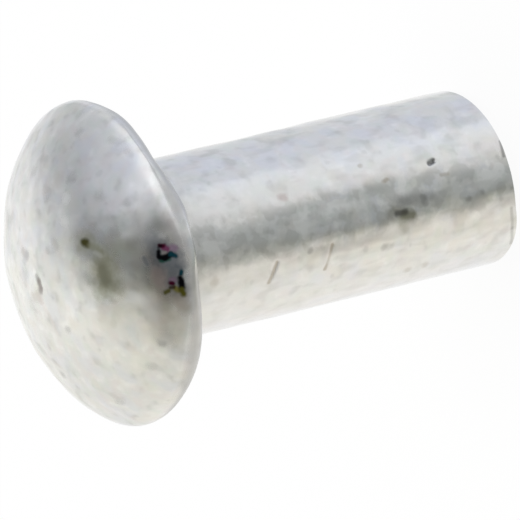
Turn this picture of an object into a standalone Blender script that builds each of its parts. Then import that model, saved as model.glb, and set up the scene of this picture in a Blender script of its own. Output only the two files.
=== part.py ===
"""Round head rivet: a solid aluminium rivet, cold headed in one blow from a sheared length of wire.

It stands on its sheared tail, head up. The origin is the centre of the tail face, +Z runs
up the shank to the crown of the head, and every size is in metres.
"""

import math

import bmesh
import bpy

MM = 0.001

# Shank: plain wire, sheared square at the tail
SHANK_DIAMETER = 4.0 * MM
SHANK_LENGTH = 9.0 * MM  # tail face to the flat under the head
TAIL_EDGE_RADIUS = 0.08 * MM
NECK_FILLET = 0.15 * MM  # hollow corner between shank and head

# Head: a dome on a rim that bulged freely between the two dies
HEAD_DIAMETER = 7.24 * MM
HEAD_HEIGHT = 2.26 * MM  # flat under the head to the crown of the dome
RIM_THICKNESS = 0.67 * MM  # flat under the head to the crease where the dome starts
RIM_ROUNDING_WIDTH = 0.72 * MM  # rounding of the rim's lower edge, measured inwards
RIM_ROUNDING_RISE = 0.58 * MM  # the same rounding, measured upwards
CREASE_INSET = 0.03 * MM  # the dome is this much smaller in radius than the rim
CREASE_RADIUS = 0.16 * MM
DOME_EDGE_SLOPE = 54.0  # degrees from level, where the dome meets the crease

# Witness mark of the die's ejector pin, a low raised disc on the crown
PIN_MARK_DIAMETER = 0.92 * MM
PIN_MARK_RISE = 0.05 * MM
PIN_MARK_WALL = 0.08 * MM  # width of the slope round the disc

# Facets
TURN_STEPS = 96
DOME_STEPS = 20
MERGE_DISTANCE = 1e-6

ALUMINIUM_COLOR = (0.72, 0.72, 0.70, 1.0)
ALUMINIUM_ROUGHNESS = 0.38


def clear_scene():
    for old in list(bpy.data.objects):
        bpy.data.objects.remove(old, do_unlink=True)


def arc(centre, width, height, start, end, steps):
    """Points of an ellipse's arc about centre, from start to end in degrees, anticlockwise from +X."""
    points = []
    for i in range(steps + 1):
        angle = math.radians(start + (end - start) * i / steps)
        points.append((centre[0] + width * math.cos(angle), centre[1] + height * math.sin(angle)))
    return points


def rounded_corner(before, corner, after, radius, steps):
    """Points of the arc that rounds the corner between two straight sides."""
    into = unit(corner, before)
    out = unit(corner, after)
    half = 0.5 * math.acos(into[0] * out[0] + into[1] * out[1])
    reach = radius / math.tan(half)
    middle = unit((0.0, 0.0), (into[0] + out[0], into[1] + out[1]))
    centre = (
        corner[0] + middle[0] * radius / math.sin(half),
        corner[1] + middle[1] * radius / math.sin(half),
    )
    first = (corner[0] + into[0] * reach, corner[1] + into[1] * reach)
    start = math.atan2(first[1] - centre[1], first[0] - centre[0])
    turn = math.pi - 2 * half
    if into[0] * out[1] - into[1] * out[0] > 0:
        turn = -turn
    points = []
    for i in range(steps + 1):
        angle = start + turn * i / steps
        points.append((centre[0] + radius * math.cos(angle), centre[1] + radius * math.sin(angle)))
    return points


def unit(start, end):
    length = math.hypot(end[0] - start[0], end[1] - start[1])
    return ((end[0] - start[0]) / length, (end[1] - start[1]) / length)


def dome_arc(edge_radius, rise):
    """Half axes of the ellipse that is level at the crown and meets the crease at the dome's edge slope."""
    steepness = math.tan(math.radians(DOME_EDGE_SLOPE)) * edge_radius / rise
    left_below = 1 / (steepness - 1)  # share of the ellipse's height that lies below the crease
    half_height = rise / (1 - left_below)
    half_width = edge_radius / math.sqrt(1 - left_below**2)
    return half_width, half_height


def pin_mark_points(dome):
    """The raised disc on the crown: its flat top and the slope down to the dome."""
    outer = PIN_MARK_DIAMETER / 2
    inner = outer - PIN_MARK_WALL
    top = SHANK_LENGTH + HEAD_HEIGHT + PIN_MARK_RISE
    foot = dome(outer)
    points = [(0.0, top), (0.6 * inner, top)]
    slope_steps = 5
    for i in range(slope_steps + 1):
        share = i / slope_steps
        ease = share * share * (3 - 2 * share)
        points.append((inner + PIN_MARK_WALL * share, top + (foot - top) * ease))
    return points


def head_points():
    """Outline of the head from the crown down to the flat under it."""
    radius = HEAD_DIAMETER / 2
    crease = (radius - CREASE_INSET, SHANK_LENGTH + RIM_THICKNESS)
    half_width, half_height = dome_arc(crease[0], HEAD_HEIGHT - RIM_THICKNESS)
    centre_height = SHANK_LENGTH + HEAD_HEIGHT - half_height

    def dome(at):
        return centre_height + half_height * math.sqrt(1 - (at / half_width) ** 2)

    points = pin_mark_points(dome)
    mark_angle = math.acos(PIN_MARK_DIAMETER / 2 / crease[0])
    for i in range(1, DOME_STEPS):
        angle = mark_angle * (1 - i / DOME_STEPS)
        at = crease[0] * math.cos(angle)
        points.append((at, dome(at)))
    rounding_rise = min(RIM_ROUNDING_RISE, RIM_THICKNESS - CREASE_RADIUS / 2)
    widest = (radius, SHANK_LENGTH + rounding_rise)
    points += rounded_corner(points[-1], crease, widest, CREASE_RADIUS, 3)
    points += arc(
        (radius - RIM_ROUNDING_WIDTH, widest[1]), RIM_ROUNDING_WIDTH, rounding_rise, 0, -90, 9
    )
    return points


def shank_points():
    """Outline of the shank from its fillet under the head down to the centre of the tail."""
    radius = SHANK_DIAMETER / 2
    fillet_centre = (radius + NECK_FILLET, SHANK_LENGTH - NECK_FILLET)
    edge_centre = (radius - TAIL_EDGE_RADIUS, TAIL_EDGE_RADIUS)
    points = arc(fillet_centre, NECK_FILLET, NECK_FILLET, 90, 180, 3)
    points += arc(edge_centre, TAIL_EDGE_RADIUS, TAIL_EDGE_RADIUS, 0, -90, 3)
    points.append((0.0, 0.0))
    return points


def turned(name, outline, material):
    """One solid of revolution about Z from an outline in the XZ plane, axis to axis."""
    mesh = bpy.data.meshes.new(name)
    profile = bmesh.new()
    corners = [profile.verts.new((x, 0.0, z)) for x, z in outline]
    for upper, lower in zip(corners, corners[1:]):
        profile.edges.new((upper, lower))
    profile.to_mesh(mesh)
    profile.free()
    piece = bpy.data.objects.new(name, mesh)
    piece.data.materials.append(material)
    screw = piece.modifiers.new("turn", "SCREW")
    screw.axis = "Z"
    screw.angle = 2 * math.pi
    screw.steps = TURN_STEPS
    screw.render_steps = TURN_STEPS
    screw.use_merge_vertices = True
    screw.merge_threshold = MERGE_DISTANCE
    screw.use_smooth_shade = True
    return piece


def aluminium():
    """Tumbled plain aluminium: satin, a little dull from its oxide."""
    material = bpy.data.materials.new("tumbled_aluminium")
    material.use_nodes = True
    shader = material.node_tree.nodes["Principled BSDF"]
    shader.inputs["Base Color"].default_value = ALUMINIUM_COLOR
    shader.inputs["Metallic"].default_value = 1.0
    shader.inputs["Roughness"].default_value = ALUMINIUM_ROUGHNESS
    return material


clear_scene()
parts = bpy.data.collections.new("round_head_rivet")
bpy.context.scene.collection.children.link(parts)
parts.objects.link(turned("rivet", head_points() + shank_points(), aluminium()))
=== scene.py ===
import math

import bpy
import numpy as np
from mathutils import Matrix, Vector


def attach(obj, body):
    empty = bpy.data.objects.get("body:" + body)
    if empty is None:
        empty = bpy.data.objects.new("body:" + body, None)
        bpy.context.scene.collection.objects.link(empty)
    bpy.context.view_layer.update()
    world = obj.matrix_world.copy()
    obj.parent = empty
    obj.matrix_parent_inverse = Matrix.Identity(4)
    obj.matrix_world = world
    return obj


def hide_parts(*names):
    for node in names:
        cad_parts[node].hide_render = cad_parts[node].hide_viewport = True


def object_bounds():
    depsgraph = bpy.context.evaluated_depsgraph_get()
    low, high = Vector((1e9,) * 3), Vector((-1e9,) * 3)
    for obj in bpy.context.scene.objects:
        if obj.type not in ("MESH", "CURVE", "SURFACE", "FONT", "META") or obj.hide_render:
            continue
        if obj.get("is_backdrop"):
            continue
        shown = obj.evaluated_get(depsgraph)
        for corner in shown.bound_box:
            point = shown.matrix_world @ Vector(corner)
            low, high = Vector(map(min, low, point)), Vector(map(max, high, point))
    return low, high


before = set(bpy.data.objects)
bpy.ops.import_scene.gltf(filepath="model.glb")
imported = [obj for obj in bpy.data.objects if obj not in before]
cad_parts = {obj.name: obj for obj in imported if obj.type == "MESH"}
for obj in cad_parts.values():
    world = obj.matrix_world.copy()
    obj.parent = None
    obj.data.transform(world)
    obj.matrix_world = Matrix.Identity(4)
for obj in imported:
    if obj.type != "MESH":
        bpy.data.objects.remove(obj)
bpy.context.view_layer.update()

# --- Camera ---------------------------------------------------------------------------------
# A long lens on a tripod, looking down on the rivet from in front. The camera lies on its side,
# so that the rivet, which stands on its tail, shows with its head to the left.

MM = 0.001  # the rivet is laid out in mm
camera_aim = Vector((-0.713, 0.5, 5.467)) * MM
camera_distance = 167.74 * MM
camera_elevation = math.radians(28.92)
camera_roll = math.radians(-103.55)
camera_field = math.radians(3.916)

camera_data = bpy.data.cameras.new("camera")
camera_data.sensor_width = 36.0
camera_data.angle = camera_field
camera_data.clip_start = 0.01
camera_data.clip_end = 20.0
camera = bpy.data.objects.new("camera", camera_data)
bpy.context.scene.collection.objects.link(camera)
camera.matrix_world = (
    Matrix.Translation(camera_aim)
    @ Matrix.Rotation(math.pi / 2 - camera_elevation, 4, "X")
    @ Matrix.Rotation(camera_roll, 4, "Z")
    @ Matrix.Translation((0.0, 0.0, camera_distance))
)
bpy.context.scene.camera = camera

# --- Sheared tail ---------------------------------------------------------------------------
# The end of the wire, cut off in a shear a little out of square. The blade rolled the edge over
# where it entered, and the edge carries a small nick.

wire_radius = 2.0
tail_edge_radius = 0.05
tail_edge_steps = 6
tail_face_steps = 7
tail_face_crowding = 1.5  # over 1 the rows of the face crowd towards its edge
tail_cut_height = 0.12  # height of the cut over the floor at the wire's axis
tail_cut_slope = 0.075  # rise of the cut towards +X
tail_cut_reach = 0.6  # how far up the wire the cut pulls the metal along
tail_roll = 0.08  # how far the rolled part of the edge lies higher still
tail_roll_reach = 0.5  # how far in from the edge it is rolled
tail_roll_azimuth = -14
tail_roll_width = 20


def arc(centre, width, height, start, end, steps):
    """Points of an ellipse's arc about centre, from start to end in degrees, without the last."""
    points = []
    for step in range(steps):
        angle = math.radians(start + (end - start) * step / steps)
        across = centre[0] + width * math.cos(angle)
        points.append((across, centre[1] + height * math.sin(angle)))
    return points


def smooth(low, high, value):
    """0 below low, 1 above high, and a smooth rise between."""
    share = np.clip((value - low) / (high - low), 0.0, 1.0)
    return share * share * (3 - 2 * share)


def hump(points, azimuth, width):
    """A smooth rise to 1 at one azimuth, in degrees from the front and positive towards +X."""
    x, y = points.T[:2]
    apart = (np.degrees(np.arctan2(x, -y)) - azimuth + 180) % 360 - 180
    return np.exp(-((apart / width) ** 2))


# The outline of the rivet, from the tail to the crown: distance from the axis, and height.
outline = []
face_radius = wire_radius - tail_edge_radius
for step in range(tail_face_steps):
    share = 1 - (1 - step / tail_face_steps) ** tail_face_crowding
    outline.append((face_radius * share, 0.0))
edge_centre = (face_radius, tail_edge_radius)
outline += arc(edge_centre, tail_edge_radius, tail_edge_radius, -90, 0, tail_edge_steps)


def tail_lift(points):
    """How far the shear's cut lies above a square one at each point."""
    x, y, z = points.T
    rolled = smooth(wire_radius - tail_roll_reach, wire_radius, np.hypot(x, y))
    rolled *= hump(points, tail_roll_azimuth, tail_roll_width)
    cut = tail_cut_height + tail_cut_slope * x + tail_roll * rolled
    return np.clip(cut, 0, None) * (1 - smooth(0.0, tail_cut_reach, z))


# --- Shank ----------------------------------------------------------------------------------
# Plain drawn wire, with one pit and two scratches from the tumbler. A hollow corner leads into
# the flat under the head.

wire_length = 9.0
neck_fillet = 0.15
neck_fillet_steps = 5

# Rows of the wire's skin: from, to, and spacing, which is closer where a mark is cut in.
shank_rows = (
    (0.05, 0.45, 0.035),
    (0.45, 1.80, 0.090),
    (1.80, 2.30, 0.040),
    (2.30, 3.40, 0.055),
    (3.40, 4.75, 0.090),
    (4.75, 5.25, 0.045),
    (5.25, 6.20, 0.090),
    (6.20, 6.70, 0.045),
    (6.70, 8.85, 0.098),
)
for low, high, spacing in shank_rows:
    for height in np.linspace(low, high, round((high - low) / spacing), endpoint=False):
        outline.append((wire_radius, float(height)))
fillet_centre = (wire_radius + neck_fillet, wire_length - neck_fillet)
outline += arc(fillet_centre, neck_fillet, neck_fillet, 180, 90, neck_fillet_steps)


def on_shank(height, azimuth):
    """The place on the wire at a height in mm and an azimuth in degrees from the front."""
    angle = math.radians(azimuth)
    return (wire_radius * math.sin(angle), -wire_radius * math.cos(angle), height)


# Marks in the wire: start, end, half width and depth. The shear left the last two, and the
# swell stands out instead.
pit = (on_shank(2.11, 13.8), on_shank(2.00, 14.9), 0.056, 0.045)
scratches = (
    (on_shank(6.35, -25.2), on_shank(6.53, -37.8), 0.048, 0.008),
    (on_shank(4.93, -22.2), on_shank(5.10, -38.0), 0.044, 0.007),
)
tail_nick = (on_shank(0.24, 7.5), on_shank(0.20, 17.0), 0.040, 0.014)
tail_swell = (on_shank(0.20, -11.0), on_shank(0.60, -11.0), 0.450, -0.030)

# --- Head -----------------------------------------------------------------------------------
# Upset cold in one blow. The rim bulged freely between the two dies, so its flank is rounded
# and it sags unevenly. The dome took the shape of the die, with a blunt crease where that ended.

head_radius = 3.62
head_height = 2.26
rim_height = 0.67  # flat under the head to the crease
rim_rounding_width = 0.72
rim_rounding_rise = 0.54
crease_inset = 0.04
dome_edge_slope = math.radians(54.0)
flat_steps = 7
rounding_steps = 60
dome_steps = 600
head_spacing = 0.045  # between the rows of the head, from the flat to the crown
wear_passes = 14
wear_rate = 0.25  # how far one pass draws each row to the middle of its neighbours
wear_loss = 0.018  # what the wear takes off the rim's radius

flat_start = wire_radius + neck_fillet
flat_end = head_radius - rim_rounding_width
for step in range(flat_steps):
    outline.append((flat_start + (flat_end - flat_start) * step / flat_steps, wire_length))
rounding_centre = (flat_end + wear_loss, wire_length + rim_rounding_rise)
head_line = arc(
    rounding_centre, rim_rounding_width, rim_rounding_rise, -90, 0, rounding_steps
)
head_line.append((head_radius + wear_loss, wire_length + rim_rounding_rise))

# The dome is an ellipse that is level at the crown and meets the crease at the edge slope.
dome_edge = head_radius - crease_inset
dome_rise = head_height - rim_height
steepness = math.tan(dome_edge_slope) * dome_edge / dome_rise
share_below = 1 / (steepness - 1)
dome_half_height = dome_rise / (1 - share_below)
dome_half_width = dome_edge / math.sqrt(1 - share_below**2)
crown_height = wire_length + head_height


def dome_height(across):
    """Height of the true dome at a distance from the axis."""
    drop = 1 - np.sqrt(np.clip(1 - (across / dome_half_width) ** 2, 0, 1))
    return crown_height - dome_half_height * drop


for angle in np.linspace(0.0, math.pi / 2, dome_steps):
    across = dome_edge * math.cos(angle)
    head_line.append((across, float(dome_height(across))))

# Tumbling has rounded the crease and the edge of the rim. The rows are evened out first.
head_line = np.array(head_line)
length = np.linalg.norm(np.diff(head_line, axis=0), axis=1).cumsum()
length = np.concatenate(((0.0,), length))
even = np.linspace(0.0, length[-1], round(length[-1] / head_spacing))
head_line = np.stack([np.interp(even, length, column) for column in head_line.T], 1)
for _ in range(wear_passes):
    head_line[1:-1] += wear_rate * (head_line[:-2] - 2 * head_line[1:-1] + head_line[2:])
outline += [tuple(corner) for corner in head_line.tolist()]

# How far the head hangs down towards the tail: azimuth and width in degrees, and distance.
rim_sags = (
    (-43, 16, 0.095),
    (-70, 14, 0.05),
    (-3, 7, 0.05),
    (11, 9, 0.09),
    (35, 9, -0.09),
    (48, 7, -0.03),
)
crease_sags = ((-3, 14, 0.14), (-27, 9, 0.05))


def head_sag(points):
    """How far each point of the rim and the crease hangs below its place on a true head."""
    x, y, z = points.T
    above_flat = z - wire_length
    on_rim = smooth(2.3, 3.0, np.hypot(x, y)) * smooth(-0.10, 0.0, above_flat)
    on_rim *= 1 - smooth(0.38, 0.60, above_flat)
    on_crease = smooth(0.10, 0.55, above_flat) * (1 - smooth(0.66, 1.10, above_flat))
    sag = 0.0
    for azimuth, width, distance in rim_sags:
        sag = sag + distance * on_rim * hump(points, azimuth, width)
    for azimuth, width, distance in crease_sags:
        sag = sag + distance * on_crease * hump(points, azimuth, width)
    return sag


# Witness mark of the ejector pin, a low disc a little off the crown, with a step in front.
pin_mark_centre = (0.10, 0.22)
pin_mark_radius = 0.46
pin_mark_wall = 0.11
pin_mark_rise = 0.008
pin_mark_step = 0.018
pin_mark_step_start = 0.15  # from the disc's centre
pin_mark_step_azimuth = -25
pin_mark_step_width = 24


def pin_mark_height(points):
    """How far the disc stands above the dome at each point."""
    from_mark = points - (*pin_mark_centre, 0.0)
    apart = np.hypot(from_mark[:, 0], from_mark[:, 1])
    wall_start = pin_mark_radius - pin_mark_wall
    inside = 1 - smooth(wall_start, pin_mark_radius, apart)
    ledge = smooth(pin_mark_step_start, wall_start, apart)
    ledge *= hump(from_mark, pin_mark_step_azimuth, pin_mark_step_width)
    on_crown = smooth(crown_height - 0.26, crown_height - 0.16, points[:, 2])
    return inside * (pin_mark_rise + pin_mark_step * ledge) * on_crown


# --- Rivet ----------------------------------------------------------------------------------
# The whole rivet is one solid piece of metal, so its skin is one closed mesh, turned from the
# outline and then dented, worn and scratched as parts are that tumble against each other.

turn_steps = 352

# Tumbling dents, long on the wire and rounder on the head: depth, wavelength and seed.
wire_dents = ((0.0070, 1.3, 3), (0.0036, 0.5, 4))
head_dents = ((0.0050, 1.4, 5), (0.0014, 0.5, 6))
wire_dent_pace = 0.45  # the waves go slower along the wire, so its dents come out long


def ripple(points, wavelength, seed, waves=28):
    """A smooth random field of about that wavelength, with a root mean square of 1."""
    draw = np.random.default_rng(seed)
    direction = draw.normal(size=(waves, 3))
    direction /= np.linalg.norm(direction, axis=1)[:, None]
    pace = 2 * math.pi / wavelength * draw.uniform(0.7, 1.3, waves)
    phase = draw.uniform(0, 2 * math.pi, waves)
    return np.cos(points @ (direction * pace[:, None]).T + phase).sum(1) * math.sqrt(2 / waves)


def distance_from_line(points, start, end):
    """Distance of each point from the line between start and end."""
    start, end = np.array(start), np.array(end)
    along = end - start
    share = np.clip((points - start) @ along / (along @ along), 0, 1)
    return np.linalg.norm(points - start - share[:, None] * along, axis=1)


outline = np.array(outline)
tangent = np.gradient(outline, axis=0)
outward = np.stack((tangent[:, 1], -tangent[:, 0]), 1)
outward /= np.linalg.norm(outward, axis=1)[:, None]
turn = np.arange(turn_steps) * 2 * math.pi / turn_steps
rows = len(outline) - 2  # the two ends are single points on the axis


def turned(line):
    """Points or directions of the outline, carried all round the axis."""
    across, height = line.T
    sides = (np.outer(across, np.sin(turn)), -np.outer(across, np.cos(turn)))
    return np.stack((*sides, np.outer(height, np.ones(turn_steps))), -1).reshape(-1, 3)


points = np.vstack(((0.0, 0.0, 0.0), turned(outline[1:-1]), (0.0, 0.0, outline[-1, 1])))
directions = np.vstack(((0.0, 0.0, -1.0), turned(outward[1:-1]), (0.0, 0.0, 1.0)))
x, y, z = points.T

# The wire is smoother near the head, where the dies gripped it, and down its -X side.
dented_wire = smooth(0.0, 0.1, z) * (1 - smooth(wire_length - 0.3, wire_length - 0.1, z))
dented_wire *= 1 - 0.4 * smooth(5.0, 7.5, z)
dented_wire *= 1 - 0.4 * smooth(1.2, 1.9, -x)
dented_head = smooth(wire_length - 0.05, wire_length + 0.3, z)

push = np.zeros(len(points))
for depth, wavelength, seed in wire_dents:
    push += depth * dented_wire * ripple(points * (1, 1, wire_dent_pace), wavelength, seed)
for depth, wavelength, seed in head_dents:
    push += depth * dented_head * ripple(points, wavelength, seed)
for start, end, half_width, depth in (pit, *scratches, tail_nick, tail_swell):
    apart = distance_from_line(points, start, end)
    push -= depth * (1 - smooth(0.3 * half_width, 1.5 * half_width, apart))

skin = points + directions * push[:, None]
skin[:, 2] += pin_mark_height(points) - head_sag(points) + tail_lift(points)

# The finished skin keeps to the rivet's overall size.
across = np.maximum(np.hypot(skin[:, 0], skin[:, 1]), 1e-9)
skin[:, :2] *= np.minimum(1, head_radius / across)[:, None]
skin[:, 2] = np.clip(skin[:, 2], 0.0, crown_height + pin_mark_rise + pin_mark_step)

# Triangles round the middle of the tail and of the crown, and four-sided faces between.
faces = []
for step in range(turn_steps):
    after = (step + 1) % turn_steps
    faces.append((0, 1 + step, 1 + after))
    for row in range(rows - 1):
        low = 1 + row * turn_steps
        high = low + turn_steps
        faces.append((low + step, high + step, high + after, low + after))
    top = 1 + (rows - 1) * turn_steps
    faces.append((top + step, len(skin) - 1, top + after))

mesh = bpy.data.meshes.new("rivet_skin")
mesh.from_pydata((skin * MM).tolist(), [], faces)
mesh.validate()
mesh.shade_smooth()
rivet = bpy.data.objects.new("rivet_skin", mesh)
bpy.context.scene.collection.objects.link(rivet)

# --- Aluminium ------------------------------------------------------------------------------
# Bare aluminium as it leaves the tumbling barrel: satin, mottled by its oxide, with drawing
# lines along the wire, small pits, and a few smears of dried oil and die residue. Painted shade,
# a painted highlight and a painted dark reflection lie on the rim, the dome's edge and the tail.


class Socket:
    """An output of a shader node. Sums and products of it add Math nodes to its tree."""

    def __init__(self, tree, output=None):
        self.tree = tree
        self.output = output

    def node(self, kind, settings=None, inputs=None, output=0):
        """A new node of that type: its settings first, then the values or links of its sockets."""
        made = self.tree.nodes.new(kind)
        for name, value in (settings or {}).items():
            if name == "stops":
                stops = made.color_ramp.elements
                while len(stops) < len(value):
                    stops.new(1.0)
                for stop, (position, color) in zip(stops, value):
                    stop.position = position
                    stop.color = (*color, 1.0)
            else:
                setattr(made, name, value)
        for name, value in (inputs or {}).items():
            if isinstance(value, Socket):
                self.tree.links.new(value.output, made.inputs[name])
            else:
                made.inputs[name].default_value = value
        return Socket(self.tree, made.outputs[output] if len(made.outputs) else None)

    def beside(self, name):
        """Another output of the same node."""
        return Socket(self.tree, self.output.node.outputs[name])

    def axis(self, name):
        """The X, Y or Z of this vector."""
        return self.node("ShaderNodeSeparateXYZ", None, {0: self}, name)

    def math(self, operation, *others):
        """Math on this value and others."""
        inputs = dict(enumerate((self, *others)))
        return self.node("ShaderNodeMath", {"operation": operation}, inputs)

    def vector(self, operation, *others, output=0):
        """Vector Math on this vector and others."""
        inputs = dict(enumerate((self, *others)))
        return self.node("ShaderNodeVectorMath", {"operation": operation}, inputs, output)

    def __add__(self, other):
        return self.math("ADD", other)

    def __sub__(self, other):
        return self.math("SUBTRACT", other)

    def __rsub__(self, other):
        return self.node("ShaderNodeMath", {"operation": "SUBTRACT"}, {0: other, 1: self})

    def __mul__(self, other):
        return self.math("MULTIPLY", other)

    def __truediv__(self, other):
        return self.math("DIVIDE", other)

    __radd__ = __add__
    __rmul__ = __mul__

    def rise(self, low, high):
        """0 below low, 1 above high, and a smooth rise between."""
        inputs = {"Value": self, "From Min": low, "From Max": high}
        return self.node("ShaderNodeMapRange", {"interpolation_type": "SMOOTHSTEP"}, inputs)

    def fall(self, low, high):
        """1 below low, 0 above high, and a smooth fall between."""
        return 1 - self.rise(low, high)

    def blend(self, other, share):
        """This color mixed towards another by a share."""
        colors = {0: share, 6: self, 7: other}
        return self.node("ShaderNodeMix", {"data_type": "RGBA"}, colors, 2)

    def noise(self, scale, detail, output="Fac"):
        """Noise over this vector."""
        inputs = {"Vector": self, "Scale": scale, "Detail": detail}
        return self.node("ShaderNodeTexNoise", None, inputs, output)

    def to_line(self, start, end):
        """Distance of this place from the line between start and end."""
        start, end = Vector(start), Vector(end)
        along = end - start
        away = self.vector("SUBTRACT", tuple(start))
        share = away.vector("DOT_PRODUCT", tuple(along / along.length_squared), output="Value")
        share = self.node("ShaderNodeClamp", None, {"Value": share})
        step = self.node("ShaderNodeCombineXYZ", None, {0: share, 1: share, 2: share})
        return away.vector("DISTANCE", step.vector("MULTIPLY", tuple(along)), output="Value")


def on_dome(x, y):
    """The place on the dome over a point in mm, where the head hangs down as well."""
    z = float(dome_height(math.hypot(x, y)))
    return (x, y, z - float(head_sag(np.array([(x, y, z)]))[0]))


def on_rim(azimuth, height, across):
    """The place on the rim at an azimuth in degrees, a height and a distance from the axis."""
    angle = math.radians(azimuth)
    return (across * math.sin(angle), -across * math.cos(angle), height)


aluminium = bpy.data.materials.new("tumbled_aluminium")
aluminium.use_nodes = True
tree = aluminium.node_tree
shader = tree.nodes["Principled BSDF"]
place = Socket(tree).node("ShaderNodeTexCoord", output="Object")
place = place.vector("MULTIPLY", (1 / MM, 1 / MM, 1 / MM))
height = place.axis("Z")
sideways = place.axis("X")
on_wire = height.fall(8.80, 8.95)
on_head = height.rise(8.95, 9.10)

# The wire is cleaner near the head, where the dies gripped it, but for its +X side, and all
# the way down its -X side.
clean = height.rise(4.5, 7.5) * sideways.fall(0.9, 1.4)
clean = clean.math("MAXIMUM", sideways.fall(-1.9, -1.2))
calm = 1 - 0.5 * clean * on_wire

# A narrow strip down the wire's -Y side was bruised by the other rivets in the tumbler.
bruised = sideways.rise(-1.0, -0.6) * sideways.fall(0.2, 0.6)
bruised = bruised * place.axis("Y").fall(-1.0, 0.0) * on_wire

# Metal color: a cool and a warm cast in broad clouds, then oxide mottling, faint tints, bruises
# and drawing lines. Each noise has its own scale, in features to the mm, and its own detail.
cool_metal = (0.745, 0.755, 0.760, 1.0)
warm_metal = (0.775, 0.762, 0.730, 1.0)
dull_metal = (0.590, 0.590, 0.570, 1.0)
bright_metal = (0.880, 0.875, 0.860, 1.0)
pink_oxide = (0.770, 0.700, 0.690, 1.0)
green_oxide = (0.680, 0.750, 0.690, 1.0)
yellow_oxide = (0.770, 0.755, 0.690, 1.0)
blue_oxide = (0.725, 0.740, 0.790, 1.0)
casts = {0: place.noise(0.55, 3.0), 6: cool_metal, 7: warm_metal}
color = place.node("ShaderNodeMix", {"data_type": "RGBA"}, casts, 2)
mottle = place.noise(2.5, 1.5)
color = color.blend(dull_metal, 0.78 * mottle.rise(0.50, 0.72) * calm)
color = color.blend(bright_metal, 0.56 * mottle.fall(0.28, 0.46) * calm)
tint = place.noise(3.0, 1.0)
color = color.blend(pink_oxide, 0.30 * tint.rise(0.52, 0.68) * calm)
color = color.blend(green_oxide, 0.30 * tint.fall(0.32, 0.48) * calm)
haze = place.noise(2.0, 1.0)
color = color.blend(yellow_oxide, 0.46 * haze.rise(0.52, 0.68) * calm)
color = color.blend(blue_oxide, 0.46 * haze.fall(0.32, 0.48) * calm)
bruises = place.noise(2.6, 2.0)
color = color.blend(dull_metal, 0.70 * bruises.rise(0.50, 0.60) * bruised)
color = color.blend(bright_metal, 0.80 * bruises.fall(0.38, 0.48) * bruised)
lines = place.vector("MULTIPLY", (1.0, 1.0, 0.35)).noise(4.2, 1.0)
color = color.blend(dull_metal, 0.40 * lines.rise(0.50, 0.75) * on_wire * calm)

# The flank of the rim, which no die touched, is matt but for its front, and painted darker there
# as shade. The edge under the front carries a painted highlight: a bright, rougher line.
painted_flank_shade = (0.490, 0.490, 0.485, 1.0)
highlight_metal = (0.960, 0.950, 0.930, 1.0)
highlight_edge_points = (on_rim(-12, 9.02, 3.32), on_rim(-2, 8.99, 3.34), on_rim(8, 8.99, 3.34))
matt_shaded_flank = height.rise(8.94, 9.04) * height.fall(9.34, 9.56)
matt_shaded_flank = matt_shaded_flank * sideways.math("ABSOLUTE").rise(0.3, 0.9)
color = color.blend(painted_flank_shade, 0.75 * matt_shaded_flank)
# A painted highlight: the edge under the front is brightened and made rougher.
edge_highlight = place.to_line(highlight_edge_points[0], highlight_edge_points[1]).fall(0.05, 0.19)
edge_highlight = edge_highlight.math("MAXIMUM", place.to_line(highlight_edge_points[1], highlight_edge_points[2]).fall(0.05, 0.19))
color = color.blend(highlight_metal, 0.80 * edge_highlight)

# Dirt, old oil, the colors that a thin film of oil shows, and the colors of painted shade and of
# a painted dark reflection.
black_dirt_and_reflection = (0.006, 0.006, 0.008, 1.0)
brown_dirt = (0.060, 0.040, 0.020, 1.0)
grey_dirt_and_shade = (0.300, 0.300, 0.290, 1.0)
olive_dirt = (0.090, 0.085, 0.030, 1.0)
olive_film = (0.130, 0.125, 0.020, 1.0)
olive_oil = (0.300, 0.300, 0.200, 1.0)
brown_oil = (0.450, 0.410, 0.350, 1.0)
mauve_grey = (0.400, 0.370, 0.360, 1.0)
plum_dark_reflection = (0.085, 0.006, 0.028, 1.0)
magenta_film = (0.260, 0.080, 0.170, 1.0)
mauve_film = (0.400, 0.270, 0.390, 1.0)
teal_dark_reflection = (0.010, 0.070, 0.095, 1.0)
green_dark_reflection = (0.020, 0.110, 0.080, 1.0)
pink_film = (0.560, 0.470, 0.450, 1.0)
blue_film = (0.420, 0.440, 0.480, 1.0)
blue_shade = (0.200, 0.220, 0.240, 1.0)
yellow_oil = (0.270, 0.245, 0.060, 1.0)
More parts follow.
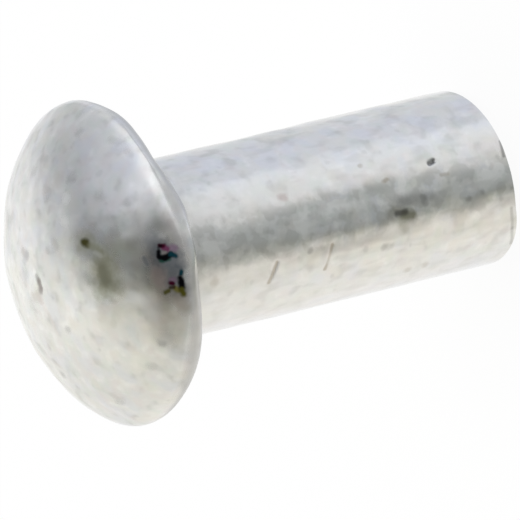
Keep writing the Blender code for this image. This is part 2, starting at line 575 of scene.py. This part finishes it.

# Smears of oil and residue, and painted shade and painted dark reflection: start, end, half
# width, color and strength.
smears_and_painted_shade = (
    # the stain low on the wire
    (on_shank(3.34, -11.5), on_shank(2.84, -15.2), 0.13, olive_dirt, 0.45),
    (on_shank(2.99, -15.2), on_shank(2.83, -15.6), 0.11, olive_film, 0.42),
    (on_shank(3.10, -17.5), on_shank(3.05, -23.3), 0.12, olive_oil, 0.35),
    (on_shank(3.22, -12.3), on_shank(2.99, -12.7), 0.07, black_dirt_and_reflection, 0.60),
    (on_shank(3.04, -5.3), on_shank(2.32, -6.7), 0.13, grey_dirt_and_shade, 0.36),
    (on_shank(2.48, -8.5), on_shank(2.45, -10.7), 0.07, grey_dirt_and_shade, 0.50),
    (on_shank(2.52, -5.6), on_shank(2.44, -6.6), 0.06, grey_dirt_and_shade, 0.55),
    (on_shank(3.00, -4.9), on_shank(2.92, -5.5), 0.09, grey_dirt_and_shade, 0.30),
    # spots on the rest of the wire
    (on_shank(5.93, 14.5), on_shank(5.88, 14.0), 0.09, pink_film, 0.60),
    (on_shank(3.31, 9.8), on_shank(3.28, 10.0), 0.05, brown_oil, 0.60),
    (on_shank(3.79, 22.7), on_shank(3.76, 23.0), 0.05, brown_oil, 0.50),
    (on_shank(3.38, 9.4), on_shank(3.23, 9.8), 0.04, brown_oil, 0.40),
    (on_shank(1.92, 4.9), on_shank(1.74, 4.5), 0.04, brown_oil, 0.45),
    (on_shank(1.35, -13.9), on_shank(1.33, -14.1), 0.06, grey_dirt_and_shade, 0.55),
    (on_shank(1.00, -11.5), on_shank(0.98, -11.7), 0.05, grey_dirt_and_shade, 0.45),
    (on_shank(3.60, -33.2), on_shank(3.57, -32.2), 0.07, brown_dirt, 0.20),
    (on_shank(4.08, -30.8), on_shank(4.06, -29.8), 0.06, grey_dirt_and_shade, 0.25),
    (on_shank(5.51, -23.2), on_shank(5.48, -22.4), 0.06, grey_dirt_and_shade, 0.50),
    (on_shank(2.33, -56.8), on_shank(2.35, -56.2), 0.08, brown_oil, 0.35),
    (on_shank(2.77, -57.8), on_shank(2.79, -57.2), 0.08, brown_oil, 0.35),
    (on_shank(7.94, -28.8), on_shank(7.90, -28.0), 0.09, brown_oil, 0.30),
    # painted shade along the edge of the tail
    (on_shank(0.07, -56.0), on_shank(0.17, -42.0), 0.04, grey_dirt_and_shade, 0.40),
    (on_shank(0.17, -42.0), on_shank(0.24, -27.0), 0.04, grey_dirt_and_shade, 0.40),
    # round the pin mark
    (on_dome(0.08, -0.12), on_dome(-0.04, -0.18), 0.055, mauve_grey, 0.50),
    (on_dome(-0.04, -0.18), on_dome(-0.19, -0.17), 0.070, mauve_grey, 0.88),
    (on_dome(-0.19, -0.17), on_dome(-0.27, -0.12), 0.065, mauve_grey, 0.75),
    (on_dome(0.67, 0.37), on_dome(0.58, 0.19), 0.10, mauve_grey, 0.40),
    (on_dome(0.58, 0.19), on_dome(0.47, 0.37), 0.10, blue_film, 0.30),
    (on_dome(-0.34, 0.28), on_dome(-0.40, 0.01), 0.12, pink_film, 0.35),
    # old oil on the front of the dome
    (on_dome(-0.05, -2.25), on_dome(-0.40, -2.22), 0.34, olive_oil, 0.75),
    (on_dome(-0.12, -2.20), on_dome(-0.36, -2.20), 0.14, olive_dirt, 0.32),
    (on_dome(0.56, -2.00), on_dome(0.50, -1.86), 0.22, olive_oil, 0.60),
    (on_dome(0.53, -1.90), on_dome(0.50, -1.96), 0.085, olive_dirt, 1.00),
    (on_dome(0.44, -2.05), on_dome(0.27, -2.27), 0.08, olive_oil, 0.60),
    (on_dome(0.27, -2.12), on_dome(0.19, -2.24), 0.05, bright_metal, 0.30),
    # the stain on the dome's front edge, with its colored films, and painted shade and a
    #     # painted dark reflection of the lens there
    (on_dome(0.20, -3.30), on_dome(-0.05, -3.34), 0.20, blue_shade, 0.60),
    (on_dome(-0.05, -3.36), on_dome(-0.36, -3.44), 0.22, blue_shade, 0.82),
    (on_dome(-0.45, -3.30), on_dome(-0.62, -3.42), 0.20, blue_shade, 0.50),
    (on_dome(-0.49, -3.22), on_dome(-0.67, -3.23), 0.17, pink_film, 0.75),
    (on_dome(-0.74, -3.36), on_dome(-0.98, -3.40), 0.17, blue_shade, 0.60),
    (on_dome(-1.12, -3.32), on_dome(-1.30, -3.33), 0.16, brown_oil, 0.60),
    (on_dome(-0.10, -3.10), on_dome(-0.22, -3.12), 0.060, blue_shade, 0.75),
    (on_dome(-0.25, -3.25), on_dome(-0.28, -3.27), 0.060, blue_shade, 0.40),
    (on_dome(0.30, -3.40), on_dome(0.24, -3.43), 0.050, bright_metal, 0.28),
    (on_dome(-0.12, -3.52), on_dome(-0.40, -3.54), 0.120, blue_shade, 0.35),
    (on_dome(-0.02, -3.47), on_dome(-0.04, -3.51), 0.080, mauve_film, 0.80),
    (on_dome(0.04, -3.40), on_dome(-0.03, -3.43), 0.060, magenta_film, 1.00),
    (on_dome(0.09, -3.36), on_dome(0.07, -3.40), 0.045, plum_dark_reflection, 1.00),
    (on_dome(-0.08, -3.38), on_dome(-0.09, -3.40), 0.045, mauve_grey, 0.90),
    (on_dome(0.085, -3.36), on_dome(0.075, -3.38), 0.030, black_dirt_and_reflection, 0.80),
    (on_dome(0.05, -3.34), on_dome(-0.04, -3.34), 0.032, black_dirt_and_reflection, 0.60),
    (on_dome(-0.04, -3.33), on_dome(-0.14, -3.32), 0.048, black_dirt_and_reflection, 1.00),
    (on_dome(-0.23, -3.33), on_dome(-0.23, -3.42), 0.055, green_dark_reflection, 0.90),
    (on_dome(-0.15, -3.32), on_dome(-0.18, -3.38), 0.056, black_dirt_and_reflection, 1.00),
    (on_dome(-0.18, -3.38), on_dome(-0.15, -3.45), 0.054, black_dirt_and_reflection, 1.00),
    (on_dome(-0.21, -3.39), on_dome(-0.17, -3.46), 0.046, black_dirt_and_reflection, 1.00),
    (on_dome(-0.15, -3.46), on_dome(-0.20, -3.50), 0.056, teal_dark_reflection, 1.00),
    (on_dome(-0.41, -3.47), on_dome(-0.49, -3.50), 0.040, blue_shade, 0.55),
    (on_dome(-0.56, -3.50), on_dome(-0.61, -3.49), 0.048, teal_dark_reflection, 1.00),
    (on_dome(-0.69, -3.36), on_dome(-0.70, -3.38), 0.070, mauve_film, 0.80),
    (on_dome(-0.75, -3.33), on_dome(-0.77, -3.35), 0.050, plum_dark_reflection, 1.00),
    (on_dome(-0.89, -3.35), on_dome(-0.93, -3.38), 0.062, yellow_oil, 0.95),
    (on_dome(-0.84, -3.30), on_dome(-0.85, -3.34), 0.040, brown_dirt, 0.90),
    (on_dome(-0.92, -3.21), on_dome(-0.90, -3.26), 0.055, olive_film, 0.95),
    (on_dome(-0.69, -3.46), on_dome(-0.79, -3.45), 0.060, black_dirt_and_reflection, 1.00),
    (on_dome(-0.79, -3.45), on_dome(-0.89, -3.43), 0.065, black_dirt_and_reflection, 1.00),
    (on_dome(-0.95, -3.41), on_dome(-1.05, -3.40), 0.058, olive_film, 1.00),
    # clouds and spots on the rest of the dome
    (on_dome(-1.90, -2.70), on_dome(-1.86, -2.76), 0.16, blue_film, 0.35),
    (on_dome(-1.21, -0.62), on_dome(-1.21, -0.58), 0.08, grey_dirt_and_shade, 0.35),
    (on_dome(-2.14, 0.84), on_dome(-2.14, 0.78), 0.09, grey_dirt_and_shade, 0.35),
    (on_dome(-1.97, -2.66), on_dome(-1.95, -2.62), 0.08, grey_dirt_and_shade, 0.35),
    (on_dome(-2.99, -0.58), on_dome(-2.99, -0.53), 0.10, grey_dirt_and_shade, 0.25),
    (on_dome(0.61, -2.61), on_dome(0.58, -2.64), 0.12, grey_dirt_and_shade, 0.30),
    (on_dome(1.96, -1.51), on_dome(1.98, -1.56), 0.12, grey_dirt_and_shade, 0.25),
    (on_dome(2.87, -1.38), on_dome(2.89, -1.42), 0.10, grey_dirt_and_shade, 0.25),
    (on_dome(2.56, -2.28), on_dome(2.46, -2.46), 0.08, grey_dirt_and_shade, 0.20),
    (on_dome(2.25, -2.68), on_dome(2.12, -2.80), 0.07, grey_dirt_and_shade, 0.18),
    (on_dome(2.29, -0.13), on_dome(2.30, -0.18), 0.12, grey_dirt_and_shade, 0.20),
    (on_dome(0.15, 0.45), on_dome(-0.40, 0.42), 0.30, grey_dirt_and_shade, 0.07),
    (on_dome(0.42, -1.20), on_dome(0.80, -1.25), 0.28, grey_dirt_and_shade, 0.08),
    (on_dome(1.38, 1.32), on_dome(1.00, 1.31), 0.26, grey_dirt_and_shade, 0.14),
    (on_dome(1.55, -1.43), on_dome(1.53, -1.47), 0.10, bright_metal, 0.60),
    (on_dome(1.08, -1.40), on_dome(1.06, -1.44), 0.10, bright_metal, 0.60),
)
wobble = place.noise(6.0, 3.0, output="Color").vector("SUBTRACT", (0.5, 0.5, 0.5))


def ragged_share(start, end, half_width, drift, reach):
    """1 on a line and 0 beyond its reach, in half widths, with an edge that wobbles by a drift."""
    drift = drift * half_width
    ragged = wobble.vector("MULTIPLY_ADD", (drift, drift, drift), place)
    return ragged.to_line(start, end).fall(0.3 * half_width, reach * half_width)


dirt_and_shade_share = 0.0
for start, end, half_width, mark_color, strength in smears_and_painted_shade:
    share = strength * ragged_share(start, end, half_width, 1.1, 1.7)
    color = color.blend(mark_color, share)
    dirt_and_shade_share = share.math("MAXIMUM", dirt_and_shade_share)

# Dirt has settled in the pit, the nick and the scratches, and as specks all over.
settled = [(pit, black_dirt_and_reflection, 1.00), (tail_nick, grey_dirt_and_shade, 0.75)]
for scratch in scratches:
    settled.append((scratch, brown_oil, 0.75))
for (start, end, half_width, depth), mark_color, strength in settled:
    color = color.blend(mark_color, strength * ragged_share(start, end, half_width, 0.8, 1.6))
specks = place.noise(3.4, 1.0).rise(0.66, 0.78)
color = color.blend(grey_dirt_and_shade, 0.14 * specks)

# Drawing left the wire glossier than the head. The relief is in mm.
grain = place.noise(14.0, 2.0)
roughness = 0.09 + 0.10 * on_head + 0.10 * mottle + 0.02 * grain
roughness += 0.18 * dirt_and_shade_share + 0.12 * matt_shaded_flank + 0.22 * edge_highlight
relief = 0.0030 * mottle + 0.0060 * place.noise(3.2, 0.0) * on_head + 0.0001 * grain
relief += 0.0034 * (lines + place.noise(3.0, 1.0)) * on_wire * calm
relief += 0.0070 * bruises * bruised
bump = place.node("ShaderNodeBump", None, {"Distance": MM, "Height": relief}, "Normal")

tree.links.new(color.output, shader.inputs["Base Color"])
tree.links.new(roughness.output, shader.inputs["Roughness"])
tree.links.new(bump.output, shader.inputs["Normal"])
shader.inputs["Metallic"].default_value = 1.0

mesh.materials.append(aluminium)
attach(rivet, "root")
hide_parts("rivet")

# --- Floor ----------------------------------------------------------------------------------
# A wide sheet of matt white card that the rivet stands on. It carries a soft shadow, and is
# an even white elsewhere.

floor_half = 3.0  # in metres
floor_even_share = 0.94  # how much of the card's look is an even white
card_color = (0.92, 0.92, 0.92, 1.0)

floor_corners = []
for x, y in ((-1, -1), (1, -1), (1, 1), (-1, 1)):
    floor_corners.append((x * floor_half, y * floor_half, 0.0))
floor_mesh = bpy.data.meshes.new("floor")
floor_mesh.from_pydata(floor_corners, [], [(0, 1, 2, 3)])
floor = bpy.data.objects.new("floor", floor_mesh)
bpy.context.scene.collection.objects.link(floor)
floor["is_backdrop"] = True

card = bpy.data.materials.new("white_card")
card.use_nodes = True
tree = card.node_tree
tree.nodes.clear()
camera_ray = Socket(tree).node("ShaderNodeLightPath", output="Is Camera Ray")
seen = camera_ray.math("MAXIMUM", camera_ray.beside("Is Glossy Ray"))
seen = seen.math("MAXIMUM", camera_ray.beside("Is Transmission Ray"))
matt = seen.node("ShaderNodeBsdfDiffuse", None, {"Color": card_color})
even = seen.node("ShaderNodeEmission", None, {"Color": (1.0, 1.0, 1.0, 1.0)})
white = seen.node("ShaderNodeMixShader", None, {0: floor_even_share * seen, 1: matt, 2: even})
white.node("ShaderNodeOutputMaterial", None, {"Surface": white})
floor_mesh.materials.append(card)

# --- Reflector ------------------------------------------------------------------------------
# A round card flat on the floor round the rivet, dark in front and white behind, that only the
# metal sees. It gives the wire its lengthwise bands, and its greyer outer part lights the rim.

reflector_radius = 600.0
reflector_height = 0.02
reflector_steps = 128

reflector_corners = []
for step in range(reflector_steps):
    angle = 2 * math.pi * step / reflector_steps
    edge = Vector((math.cos(angle), math.sin(angle), 0.0)) * reflector_radius
    reflector_corners.append((edge + Vector((0.0, 0.0, reflector_height))) * MM)
reflector_mesh = bpy.data.meshes.new("reflector")
reflector_mesh.from_pydata(reflector_corners, [], [tuple(range(reflector_steps))])
reflector = bpy.data.objects.new("reflector", reflector_mesh)
bpy.context.scene.collection.objects.link(reflector)
reflector.visible_camera = False
reflector.visible_diffuse = False
reflector.visible_shadow = False
reflector.visible_transmission = False
reflector.visible_volume_scatter = False
reflector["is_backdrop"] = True


def azimuth_share(direction):
    """0 to 1 once round a direction or place, from the back over -X, the front and +X."""
    turn = direction.axis("X").math("ARCTAN2", direction.axis("Y") * -1.0)
    return turn * (0.5 / math.pi) + 0.5


def grey(level, red=1.0, blue=1.0):
    """A grey level with a cast: its red and blue against its green."""
    return (level * red, level, level * blue)


def ring(share, tones):
    """A color all round, from rows of azimuth in degrees and what grey takes."""
    stops = [((azimuth + 180) / 360, grey(*tone)) for azimuth, *tone in tones]
    return share.node("ShaderNodeValToRGB", {"stops": stops}, {"Fac": share}, "Color")


# The card's tones all round: close to the wire, farther out, and where it meets the tent.
inner = (
    (-180, 0.98),
    (-160, 0.98, 1.01, 0.99),
    (-140, 1.00, 1.02, 0.975),
    (-120, 0.98, 1.01, 0.955),
    (-100, 0.98, 1.02, 0.955),
    (-80, 0.95, 1.02, 0.945),
    (-68, 0.86, 1.02, 0.93),
    (-56, 0.90, 1.033, 0.92),
    (-48, 0.71, 1.035, 0.925),
    (-40, 0.57, 1.01, 0.915),
    (-32, 0.43, 0.99, 0.92),
    (-25, 0.38, 0.97, 0.95),
    (-16, 0.43, 0.96, 0.99),
    (-8, 0.44, 0.96, 0.99),
    (0, 0.51, 0.96, 1.00),
    (8, 0.56, 0.97, 1.00),
    (16, 0.66, 0.985, 1.00),
    (24, 0.81, 0.995, 1.01),
    (32, 0.89, 0.985, 1.02),
    (48, 0.94, 0.98, 1.03),
    (60, 0.96, 0.97, 1.05),
    (68, 0.93, 0.965, 1.08),
    (76, 0.80, 0.965, 1.09),
    (96, 0.80, 0.965, 1.10),
    (120, 0.77, 0.965, 1.09),
    (132, 0.79, 0.97, 1.07),
    (146, 0.80, 0.97, 1.05),
    (160, 0.85, 0.98, 1.03),
    (180, 0.98),
)
outer = (
    (-180, 1.08),
    (-165, 0.97),
    (-150, 0.97, 1.01, 0.98),
    (-120, 0.98, 1.02, 0.95),
    (-100, 0.81, 1.02, 0.94),
    (-80, 0.70, 1.02, 0.94),
    (-60, 0.65, 1.02, 0.94),
    (-40, 0.57, 1.02, 0.95),
    (-20, 0.46),
    (0, 0.39),
    (20, 0.69, 0.99, 1.02),
    (40, 0.64, 0.98, 1.04),
    (70, 0.61, 0.97, 1.07),
    (90, 0.67, 0.965, 1.09),
    (120, 0.76, 0.97, 1.09),
    (150, 0.92, 0.98, 1.05),
    (180, 1.10),
)
skirting = (
    (-180, 1.10, 1.0, 0.97),
    (-165, 0.93, 1.01, 0.96),
    (-150, 0.92, 1.01, 0.96),
    (-121, 1.00, 1.01, 0.95),
    (-112, 0.95, 1.01, 0.94),
    (-102, 0.89, 1.01, 0.94),
    (-93, 0.87, 1.01, 0.94),
    (-84, 0.78, 1.01, 0.93),
    (-75, 0.76, 1.01, 0.93),
    (-65, 0.69, 1.01, 0.93),
    (-56, 0.61, 1.01, 0.93),
    (-45, 0.45, 1.01, 0.94),
    (-30, 0.37),
    (-15, 0.33),
    (0, 0.36),
    (10, 0.52),
    (20, 0.91, 0.99, 1.02),
    (30, 1.06, 0.99, 1.03),
    (40, 1.14, 0.98, 1.04),
    (52, 1.24, 0.98, 1.04),
    (62, 1.14, 0.98, 1.04),
    (72, 1.18, 0.98, 1.04),
    (83, 1.00, 0.98, 1.05),
    (93, 0.92, 0.97, 1.06),
    (102, 0.84, 0.97, 1.06),
    (112, 0.76, 0.97, 1.06),
    (130, 0.65, 0.97, 1.05),
    (150, 0.72, 0.98, 1.03),
    (170, 1.00),
    (180, 1.10, 1.0, 0.97),
)

banded = bpy.data.materials.new("reflector_card")
banded.use_nodes = True
tree = banded.node_tree
tree.nodes.clear()
spot = Socket(tree).node("ShaderNodeTexCoord", output="Object")
reach = spot.vector("LENGTH", output="Value") * (1 / MM)

# Close to the wire the bands fan out, so that they run straight up it.
fan = reach / (reach - 1.0).math("MAXIMUM", 1.0)
share = azimuth_share(spot)
fanned = (share - 0.5) * fan + 0.5
bands = ring(fanned, inner).blend(ring(fanned, outer), reach.rise(16.0, 20.0))
bands = bands.blend(ring(share, skirting), reach.rise(28.0, 60.0))
glow = bands.node("ShaderNodeEmission", None, {"Color": bands})
glow.node("ShaderNodeOutputMaterial", None, {"Surface": glow})
reflector_mesh.materials.append(banded)

# --- Light tent -----------------------------------------------------------------------------
# White walls all round with a dim open top, and a gap in the front wall for the lens. The +X
# side is cool daylight, and the -X side is warmer. The walls stand on the card's skirting.

# The tent's tones all round, from the skirting up.
low_wall = (
    (-180, 1.10, 1.0, 0.97),
    (-165, 0.98, 1.01, 0.96),
    (-150, 0.89, 1.01, 0.95),
    (-126, 0.88, 1.01, 0.94),
    (-97, 0.85, 1.01, 0.93),
    (-80, 0.76, 1.01, 0.93),
    (-62, 0.58, 1.02, 0.92),
    (-45, 0.42, 1.03, 0.92),
    (-30, 0.36),
    (-15, 0.33),
    (0, 0.30),
    (10, 0.40),
    (17, 0.66),
    (22, 0.82),
    (30, 1.05, 0.99, 1.03),
    (38, 1.19, 0.99, 1.04),
    (50, 1.22, 0.98, 1.05),
    (62, 1.10, 0.98, 1.05),
    (72, 1.04, 0.97, 1.07),
    (84, 0.80, 0.97, 1.08),
    (97, 0.71, 0.97, 1.08),
    (112, 0.64, 0.97, 1.07),
    (126, 0.60, 0.97, 1.05),
    (138, 0.54, 0.97, 1.05),
    (145, 0.58, 0.98, 1.04),
    (153, 0.88, 0.98, 1.03),
    (166, 1.01),
    (180, 1.10, 1.0, 0.97),
)
high_wall = (
    (-180, 0.92, 1.0, 0.96),
    (-165, 1.04, 1.0, 0.95),
    (-150, 1.02, 1.01, 0.94),
    (-130, 0.92, 1.01, 0.93),
    (-110, 0.88, 1.01, 0.92),
    (-90, 0.81, 1.02, 0.90),
    (-60, 0.38, 1.05, 0.85),
    (-50, 0.24, 1.08, 0.82),
    (-30, 0.05, 1.08, 0.85),
    (-5, 0.04),
    (10, 0.20),
    (20, 0.40, 0.99, 1.02),
    (30, 0.60, 0.98, 1.05),
    (42, 0.72, 0.98, 1.06),
    (50, 0.90, 0.97, 1.07),
    (62, 0.89, 0.97, 1.08),
    (75, 0.74, 0.97, 1.09),
    (90, 0.64, 0.97, 1.09),
    (101, 0.62, 0.97, 1.10),
    (114, 0.56, 0.97, 1.10),
    (126, 0.50, 0.97, 1.08),
    (136, 0.47, 0.97, 1.07),
    (150, 0.65, 0.98, 1.03),
    (163, 0.70, 0.98, 1.0),
    (172, 0.86, 0.99, 0.98),
    (180, 0.92, 1.0, 0.96),
)
roof = (
    (-180, 0.64, 0.99, 0.94),
    (-164, 0.97, 1.0, 0.94),
    (-150, 0.82, 1.0, 0.93),
    (-130, 0.73, 1.01, 0.92),
    (-110, 0.76, 1.01, 0.92),
    (-80, 0.76, 1.01, 0.91),
    (-60, 0.38, 1.02, 0.90),
    (-40, 0.165, 1.02, 0.90),
    (-10, 0.07),
    (10, 0.17),
    (30, 0.32, 0.98, 1.03),
    (50, 0.54, 0.97, 1.06),
    (70, 0.67, 0.97, 1.08),
    (90, 0.61, 0.97, 1.09),
    (120, 0.40, 0.97, 1.06),
    (148, 0.38, 0.98, 1.0),
    (163, 0.30, 0.98, 1.0),
    (174, 0.48, 0.99, 0.96),
    (180, 0.64, 0.99, 0.94),
)
zenith = (
    (-180, 0.17, 0.95, 0.90),
    (-90, 0.29, 0.95, 0.89),
    (0, 0.25, 0.95, 0.89),
    (90, 0.24, 0.95, 0.91),
    (180, 0.17, 0.95, 0.90),
)

# Where each takes over from the one below it, in degrees of elevation.
storeys = (
    (low_wall, 6.0, 18.0),
    (high_wall, 27.0, 42.0),
    (roof, 52.0, 68.0),
    (zenith, 66.0, 84.0),
)

world = bpy.data.worlds.new("light_tent")
bpy.context.scene.world = world
world.use_nodes = True
tree = world.node_tree
tree.nodes.clear()
direction = Socket(tree).node("ShaderNodeTexCoord", output="Generated")
elevation = direction.axis("Z").math("ARCSINE") * math.degrees(1)
share = azimuth_share(direction)
tent = ring(share, skirting)
for tones, low, high in storeys:
    tent = tent.blend(ring(share, tones), elevation.rise(low, high))
glow = tent.node("ShaderNodeBackground", None, {"Color": tent})
glow.node("ShaderNodeOutputWorld", None, {"Surface": glow})

# --- Lamp -----------------------------------------------------------------------------------
# One large soft lamp over the tent, which brings a matt surface up to its own color. The metal
# doesn't mirror it.

lamp_width = 1.2  # in metres
lamp_power = 13.0  # in watts
lamp_place = Vector((0.25, 0.35, 1.5))

lamp_data = bpy.data.lights.new("overhead", "AREA")
lamp_data.shape = "DISK"
lamp_data.size = lamp_width
lamp_data.energy = lamp_power
lamp = bpy.data.objects.new("overhead", lamp_data)
lamp.location = lamp_place
lamp.rotation_euler = (-lamp_place).to_track_quat("-Z", "Y").to_euler()
lamp.visible_glossy = False
lamp.visible_camera = False
bpy.context.scene.collection.objects.link(lamp)

bpy.context.scene.view_settings.view_transform = "Standard"

bpy.context.view_layer.update()
low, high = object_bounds()
